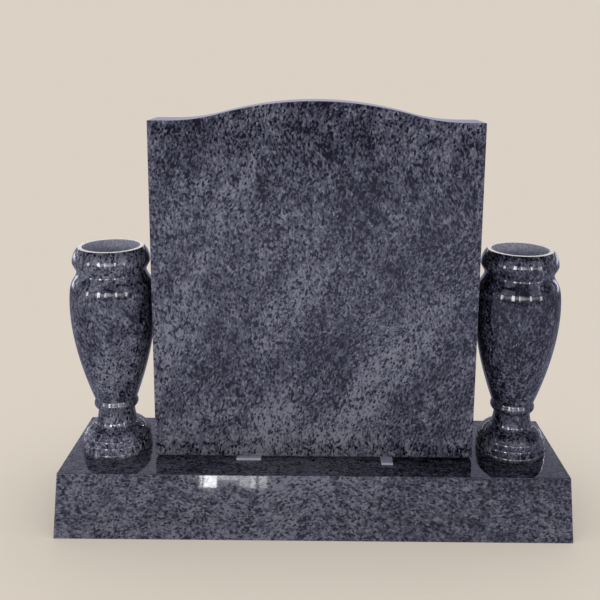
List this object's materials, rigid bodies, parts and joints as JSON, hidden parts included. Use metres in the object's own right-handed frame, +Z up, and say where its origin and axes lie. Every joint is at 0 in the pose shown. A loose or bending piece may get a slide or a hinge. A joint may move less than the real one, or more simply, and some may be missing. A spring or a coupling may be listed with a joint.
{
  "type": "upright headstone",
  "caption": "Upright granite memorial: a blank serpentine-topped tablet on a sloped-front base, with a turned flower vase at each side.",
  "frame": {"origin": "middle of the base's underside, which is the middle of the footprint and the lowest level of the memorial", "axes": "+X to the viewer's right along the width, -Y out of the tablet's front face towards the viewer, +Z up"},
  "size_m": [1.22, 0.349, 1.0176],
  "materials": {
    "granite": "mirror-polished blue-grey granite with dark flecks; sawn underside and rough drilled vase mouths",
    "strip": "matt pale setting strip"
  },
  "bodies": {
    "root": {"base": "granite", "tablet": "granite", "left_strip": "strip", "right_strip": "strip", "left_vase": "granite", "right_vase": "granite"}
  },
  "joints": []
}
